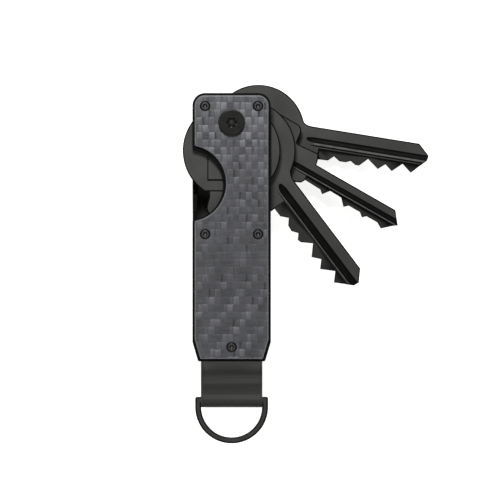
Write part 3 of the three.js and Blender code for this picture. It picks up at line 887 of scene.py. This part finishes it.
def make_pivot():
    """The pivot screw, with its six-lobe socket, and the barrel nut that the keys turn on."""
    low, high = corners("pivot_screw")
    head, top = (high.x - low.x) / 2, high.z
    under = FRONT_FACE + 0.05
    shank = 1.84
    # The head's side and edge and the socket's walls are marked negative, painted shade, and the
    # socket's floor a faint painted glint.
    screw = turned("pivot_screw_piece", [
        (0, low.z), (shank - 0.2, low.z), (shank, low.z + 0.2), (shank, under),
        (head - 0.1, under, 0, -1), (head, under + 0.1, 0, -1), (head, top - 0.2, 0, -1),
        (head - 0.05, top - 0.08, 0, -0.8), (head - 0.2, top, 0, -0.5), (head - 0.34, top),
        (1.7, top, 0.06), (1.36, top, 0.2), (1.3, top - 0.03, 0.22), (1.24, top - 0.15, 0.24, -1),
        (1.16, top - 0.4, 0.22, -1), (0.8, top - 0.42, 0.05, -0.3), (0.6, top - 0.4, 0, 0),
        (0, top - 0.36, 0, 0.06),
    ], (PIVOT.x, PIVOT.y, 0), 120)
    place(screw, "covers", PIVOT_STEEL, "pivot_screw")

    low, high = corners("pivot_barrel_nut")
    flange, barrel, bore = (high.x - low.x) / 2, 2.6, 1.9
    plate_top = corners("rear_carbon_plate")[1].z
    nut = turned("pivot_barrel_nut_piece", [
        (0, low.z), (flange - 0.45, low.z), (flange - 0.2, low.z + 0.03), (flange, low.z + 0.2),
        (flange, plate_top), (barrel, plate_top), (barrel, high.z - 0.15), (barrel - 0.15, high.z),
        (bore + 0.15, high.z), (bore, high.z - 0.15), (bore, low.z + 1), (0, low.z + 1),
    ], (PIVOT.x, PIVOT.y, 0), 96)
    place(nut, "covers", PIVOT_STEEL, "pivot_barrel_nut")


def make_washers_and_posts():
    """The nylon washers between the keys, and the sleeves that hold the covers apart."""
    for number in range(1, 6):
        node = f"key_washer_{number}"
        low, high = corners(node)
        outer = (high.x - low.x) / 2
        washer = turned(f"{node}_piece", tube_profile(outer, PIVOT_HOLE_RADIUS, low.z, high.z, 0.08),
                        (PIVOT.x, PIVOT.y, 0), 96, closed=True)
        place(washer, "covers", NYLON, node)

    for node in ("side_post", "tail_post"):
        low, high = corners(node)
        spot = middle(node)
        outer = (high.x - low.x) / 2
        post = turned(f"{node}_piece", tube_profile(outer, SCREW_HOLE_RADIUS, low.z, high.z, 0.12),
                      (spot.x, spot.y, 0), 64, closed=True)
        place(post, "covers", SCREW, node)


# ---- keys
# Each is drawn with the pivot at the origin, the blade along +X and the teeth towards -Y.
KEY_END = 62
STRIP_DEPTH = 0.3
LINE_DEPTH = 0.25
BACK_GROOVE_DEPTH = 0.5
BACK_GROOVE_GAP = 0.1
BACK_GROOVE_SHARE = 0.85
ON_FACE = 0.03
# A groove's cross-section from its lower side to its upper, as shares of its width and its depth
GROOVE_SECTION = ((0.0, 0.0), (0.08, 0.5), (0.3, 0.8), (0.7, 1.0), (0.94, 0.8), (1.0, 0.0))


def key_edge(low, high, flat_light_and_wear=0.0, width=1.0):
    """Side of a key plate: broken edges with painted shade, drawn as thick dark coating, and a thin
    painted highlight line inside, drawn as rubbed coating.
    """
    profile = [(0.18, low, flat_light_and_wear), (0.1, low, -1), (0, low + 0.1, -1), (0, high - 0.16, -1)]
    profile += [(0.12, high - 0.06, -1), (0.32, high, -1), (0.4, high, 0.25 + flat_light_and_wear),
                (0.46, high, flat_light_and_wear)]
    return [(inset * width, z, lit_and_worn) for inset, z, lit_and_worn in profile]


def round_bow_outline(centre, radius, back, lower):
    """Outline of a round bow, from the blade's back round to its toothed side, with a fillet at each.
    back and lower are the blade's two sides there, each as (v, u where the fillet ends)."""
    start = math.degrees(math.asin((back[0] - centre[1]) / radius))
    end = math.degrees(math.asin((lower[0] - centre[1]) / radius))
    lead_in, lead_out = 6.5, 5.0
    ring = arc(centre, radius, start + lead_in, 360 + end - lead_out, 96)
    meets_back = centre[0] + radius * math.cos(math.radians(start)), back[0]
    meets_low = centre[0] + radius * math.cos(math.radians(end)), lower[0]
    into_low = bend(ring[-1], meets_low, (lower[1], lower[0]))
    into_ring = bend((back[1], back[0]), meets_back, ring[0])
    return [(back[1], back[0])] + into_ring + ring + into_low + [(lower[1], lower[0])]


def split_blade(shoulder, teeth, tip, strip_high):
    """Outlines of the thick part of a blade, from its shoulder to its tip, and of the thinner strip
    that carries the teeth. The strip's far side lies inside the thick part."""
    hidden = 0.7
    last, nose = Vector(teeth[-1]), Vector(tip[0])
    run = (nose - last) / (nose.y - last.y)
    meets = last + run * (strip_high - last.y)
    inside = last + run * (strip_high + hidden - last.y) - Vector((0.05, 0))
    thick = [shoulder, (shoulder[0], strip_high), tuple(meets), *tip]
    root = shoulder[0] - 0.2
    first = max(shoulder[1] + 0.2, teeth[0][1])
    strip = [(root, first), *teeth, tuple(inside), (root, strip_high + hidden)]
    return thick, strip


def channel_cutter(start, low, high, depth, face, out, lead=2.8):
    """A milling cut along the blade that starts in a point. out is 1 for the upper face of the key
    and -1 for the lower."""
    bm = bmesh.new()
    anchor = high - 0.35 * (high - low)
    sections = [(start + lead * (1 - math.cos(t)), math.sin(t))
                for t in np.linspace(0.06, math.pi / 2, 9)]
    rings = []
    for u, share in [*sections, (KEY_END, 1.0)]:
        hollow = [(low + across * (high - low), face - out * depth * share * deep)
                  for across, deep in GROOVE_SECTION]
        rim = [(high, face + out), (low, face + out)]
        rings.append([bm.verts.new((u, anchor + (v - anchor) * share, z)) for v, z in hollow + rim])
    skin_rings(bm, rings)
    bm.faces.new(rings[0])
    bm.faces.new(rings[-1])
    return finish_mesh(bm, "channel")


def box_cutter(left, right, low, high, bottom, top):
    """A box to cut away, between left and right along the key and low and high across it."""
    bm = bmesh.new()
    rings = [[bm.verts.new(p) for p in ((u, low, bottom), (u, high, bottom), (u, high, top),
                                        (u, low, top))] for u in (left, right)]
    skin_rings(bm, rings)
    bm.faces.new(rings[0])
    bm.faces.new(rings[-1])
    return finish_mesh(bm, "box")


def mark_light_and_wear(key, grooves, faces):
    """Paints shade, as thick coating, into the cut parts below the key's faces, and a highlight, as
    rubbed coating, on the ridge between the grooves.
    """
    painted_light_and_wear = key.data.attributes["painted_light_and_wear"].data
    (start, low, _, _), (_, _, fine_high, _) = grooves
    for vertex in key.data.vertices:
        u, v, z = vertex.co / MM
        on_face = min(abs(z - face) for face in faces) < ON_FACE
        if painted_light_and_wear[vertex.index].value < 0.001:
            painted_light_and_wear[vertex.index].value = stored_light_and_wear(0 if on_face else -1)
        if on_face and u > start + 1.5 and min(abs(v - low), abs(v - fine_high)) < ON_FACE:
            painted_light_and_wear[vertex.index].value = stored_light_and_wear(0.5)


def key_piece(node, outline, strip, grooves, blade=None, blade_depth=0.0, lines=(),
              strip_depth=STRIP_DEPTH):
    """One key: its thick plate, the strip of teeth and any separate blade, joined, with its grooves
    cut. Each groove is (start, low, high, depth) and each line (left, right, low, high)."""
    low, high = corners(node)
    thickness = high.z - low.z
    top = thickness - blade_depth
    hole = circle((0, 0), PIVOT_HOLE_RADIUS, 72)
    key = plate(f"{node}_piece", [
        (outline, key_edge(0, thickness)), (hole, round_edge(0, thickness, 0.12)),
    ])
    # The tooth strip is marked -0.4, which makes it darker.
    joined = [plate("strip", [(strip, key_edge(strip_depth, top - strip_depth, -0.4, 0.65))])]
    if blade:
        joined.insert(0, plate("blade", [(blade, key_edge(blade_depth, top))]))
    cutters = [channel_cutter(*groove, top, 1) for groove in grooves]
    start, groove_low, groove_high, _ = grooves[0]
    back_low = groove_high + BACK_GROOVE_GAP
    back_high = groove_high + BACK_GROOVE_SHARE * (groove_high - groove_low)
    cutters.append(channel_cutter(start, back_low, back_high, BACK_GROOVE_DEPTH, blade_depth, -1))
    cutters += [box_cutter(*line, thickness - LINE_DEPTH, thickness + 1) for line in lines]
    combine(key, joined, cutters)
    mark_light_and_wear(key, grooves, (0, blade_depth, top, thickness))
    keep_layout(key)
    turn = Matrix.Rotation(math.radians(-90 - SWING_START[node]), 4, "Z")
    key.data.transform(Matrix.Translation(Vector((PIVOT.x, PIVOT.y, low.z)) * MM) @ turn)
    place(key, node, KEY, node)


def make_keys():
    """The four keys from the rear of the stack to its front. Points of a blade run from its shoulder
    along its teeth to its tip, and back to its shoulder."""
    bow = round_bow_outline((7.7, -1.1), 12.9, (2.6, 22.3), (-4.8, 21))
    thick, strip = split_blade((25.3, -4.8), [
        (25.4, -6.2), (28.1, -6.1), (29.6, -4.7), (31.3, -5.8), (33.1, -5.8), (34.4, -5.2),
        (35.8, -6.1), (36.9, -6.1), (39.1, -3.9), (42.2, -6.2), (44.1, -4.6), (46.1, -6.2),
        (48.8, -3.7), (51.4, -5.8)], [(55.4, -1.7), (55.6, -0.3), (52.5, 2.6)], -3.45)
    key_piece("key_a", bow + thick, strip, [(21.2, -1.9, -0.3, 0.75), (22.6, -2.85, -2.4, 0.35)])

    bow = rounded_corners([
        (25.2, 4.5, 0), (18.5, 3.95, 0.8), (18, 8.8, 2.5), (-5, 8.8, 6.5), (-5, -8.8, 6.5),
        (18, -8.8, 2.5), (18.3, -5.6, 0.6), (23.5, -5.6, 0), (25, -4.9, 0)], 6)
    thick, strip = split_blade((25.6, -3.9), [
        (30.6, -3.9), (31.7, -4.8), (33.2, -2.9), (36.8, -3), (38.6, -4.9), (39.7, -3.9),
        (43.3, -3.9), (44.5, -4.9), (45.5, -4), (48.9, -4), (50.6, -5)],
        [(53.3, -2.6), (54.3, -1.9), (51.6, 1.5), (26.3, 1.5), (25.9, 3.2)], -2.75)
    key_piece("key_b", bow + thick, strip, [(19.5, -2.0, -0.5, 0.75), (20.5, -2.55, -2.25, 0.35)])

    bow = round_bow_outline((8.5, -1.3), 13.7, (4.1, 24.6), (-6.1, 24))
    thick, strip = split_blade((26.3, -6.1), [
        (28.9, -4.9), (30.7, -3.3), (32.3, -4.7), (34.1, -4.9), (35.7, -3.7),
        (37.1, -5), (38.1, -4.7), (40.4, -2.2), (43.2, -4.8), (45.3, -3), (47.3, -4.9),
        (50.3, -1.9), (52.6, -4.1)], [(56.6, -0.2), (56.8, 1.4), (53.9, 4.1)], -1.7)
    key_piece("key_c", bow + thick, strip, [(21.6, -0.95, 1.2, 0.75), (22.8, -1.45, -1.2, 0.3)],
              strip_depth=0.08)

    bow_end, bow_centre, bow_radius = 19.1, 7.75, 13.6
    side = math.degrees(math.acos((bow_end - bow_centre) / bow_radius))
    bow = arc((bow_centre, 0), bow_radius, side, 360 - side, 90)
    thick, strip = split_blade((26.2, -5.6), [
        (28.4, -5.6), (30.4, -3.8), (32.6, -5.4), (34.8, -5.4), (36.6, -3.2), (39.2, -5.2),
        (41.4, -4), (43.6, -5.3), (46.2, -2.8), (48.8, -5.1)],
        [(52.8, -1.3), (52.8, 0), (50.2, 2.6), (26, 2.6), (21.6, 4.6)], -2.5)
    blade = [(14, 4.6), (14, -6.2), (20.7, -6.3), (22.5, -6.8), (24, -7), (25, -6.6), *thick]
    lines = [(4, 16.2, -6.75, -6.45), (4, 16.2, 6.45, 6.75), (15.7, 16.2, -6.75, 6.75)]
    key_piece("key_d", bow, strip, [(21.6, -1.4, 0.4, 0.6), (22.5, -1.95, -1.7, 0.3)],
              blade, 0.2, lines)


# ---- webbing and ring
def webbing_path(bar_y, top_y):
    """Centreline of the strip as (y, z) from its clamped end, round the bar and back. The two layers
    swell apart outside the covers and close again just before the bar."""
    flat, swell, dip, loop, wrap = 0.595, 1.5, 1.08, 1.6, 58
    a = math.radians(wrap)
    touch = Vector((bar_y + loop * math.cos(a), loop * math.sin(a)))
    heading = Vector((math.sin(a), -math.cos(a)))
    leave = Vector((bar_y + 9.9, flat))
    crest, trough = Vector((bar_y + 5.2, swell)), Vector((bar_y + 2.3, dip))
    spans = (
        (leave, leave - Vector((1.8, 0)), crest + Vector((2.2, 0)), crest),
        (crest, crest - Vector((1.2, 0)), trough + Vector((1.1, 0)), trough),
        (trough, trough - Vector((0.7, 0)), touch + heading * 0.35, touch),
    )
    front = [Vector((y, flat)) for y in np.linspace(top_y, leave.x, 22)[:-1]]
    for handles in spans:
        for t in np.linspace(0, 1, 13)[:-1]:
            weights = ((1 - t) ** 3, 3 * t * (1 - t) ** 2, 3 * t * t * (1 - t), t ** 3)
            front.append(sum((h * w for h, w in zip(handles, weights)), Vector((0, 0))))
    turn = [Vector(p) for p in arc((bar_y, 0), loop, wrap, 360 - wrap, 44)]
    back = [Vector((p.x, -p.y)) for p in front[::-1]]
    return [Vector((p.x, p.y + TAB_Z)) for p in front + turn + back]


def make_webbing():
    low, high = corners("webbing_root")
    bar_y = RING_HIGH.y - CAD_WIRE / 2
    line = webbing_path(bar_y, high.y)
    width, thick = 17.1, 1.12
    count = 84
    bm = bmesh.new()
    cloth = bm.verts.layers.float_vector.new("cloth")
    shares = [math.sin(t) for t in np.linspace(-math.pi / 2, math.pi / 2, count + 1)]
    edges = 0.75 * np.array(shares) + 0.25 * np.linspace(-1, 1, count + 1)
    columns = edges * width / 2

    def half_thickness(x):
        inward = width / 2 - abs(x)
        rounding = math.sqrt(max(0.0, 1 - max(0.0, 1 - inward / 0.3) ** 2))
        ribs = 0.035 * math.cos(2 * math.pi * inward / 0.78) * math.exp(-((inward - 1.3) / 0.9) ** 2)
        return max(0.0, (thick / 2) * rounding + ribs)

    length = sum((b - a).length for a, b in zip(line, line[1:]))
    rings, travelled = [], 0.0
    for k, point in enumerate(line):
        before, after = line[max(k - 1, 0)], line[min(k + 1, len(line) - 1)]
        if k:
            travelled += (point - line[k - 1]).length
        heading = (after - before).normalized()
        side = Vector((-heading.y, heading.x))
        ring = []
        for face, xs in ((1, columns), (-1, columns[::-1][1:-1])):
            for x in xs:
                spot = point + side * (face * half_thickness(x))
                vertex = bm.verts.new((x, spot.x, spot.y))
                vertex[cloth] = (x, travelled, abs(travelled - length / 2))
                ring.append(vertex)
        rings.append(ring)
    skin_rings(bm, rings)
    for ring in (rings[0], rings[-1]):
        bm.faces.new(ring)
    strap = finish_mesh(bm, "webbing_strap", 60)
    post = corners("tail_post")
    radius = (post[1].x - post[0].x) / 2 + 0.1
    hole = turned("punched_hole", [(0, 0), (radius, 0), (radius, 16), (0, 16)],
                  (middle("tail_post").x, middle("tail_post").y, 0), 48)
    combine(strap, cut=[hole], solver="EXACT")
    strap.data.materials.append(WEBBING)
    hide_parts("webbing_root", "webbing_tab")
    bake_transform(strap)


def make_ring():
    outer = RING_HIGH.x
    wire, cut = 1.7, 0.36
    inner = outer - wire
    top, bottom = RING_HIGH.y, RING_LOW.y
    arc_y = bottom + outer
    shoulder = [(outer, top - cut), (outer - cut, top), (cut - outer, top), (-outer, top - cut)]
    bow = arc((0, arc_y), outer, 180, 360, 80)
    outline = shoulder + bow
    hole = rounded_corners([(x, y, 0.2 if k in (0, 1) else 0) for k, (x, y) in enumerate(
        [(inner, top - wire), (-inner, top - wire), *arc((0, arc_y), inner, 180, 360, 80)])], 3)
    low, high = RING_LOW.z, RING_HIGH.z
    # The sides are marked -1, painted shade of the wire's round sides.
    edge = [(0.42, low, 0), (0.3, low, -1), (0, low + 0.3, -1), (0, high - 0.3, -1),
            (0.1, high - 0.16, -1), (0.3, high - 0.03, -1), (0.44, high, -0.9), (0.56, high, 0)]
    ring = plate("d_ring_piece", [(outline, edge), (hole[::-1], edge)])
    place(ring, "ring", RING, "d_ring")


# ---- CAD nodes that stay
def dress_blocks():
    """The spine and the clamp blocks keep their CAD solids, with their edges broken."""
    for node in ("side_spine", "front_clamp_block", "rear_clamp_block"):
        solid = frame["nodes"][node]
        solid.data.materials.clear()
        solid.data.materials.append(ANODISED)
        edges = solid.modifiers.new("broken_edges", "BEVEL")
        edges.width = 0.12 * MM
        edges.segments = 2
        edges.limit_method = "ANGLE"
        edges.harden_normals = True


make_ring()
make_webbing()
make_carbon_plates()
make_liners()
make_screws()
make_pivot()
make_washers_and_posts()
make_keys()
dress_blocks()
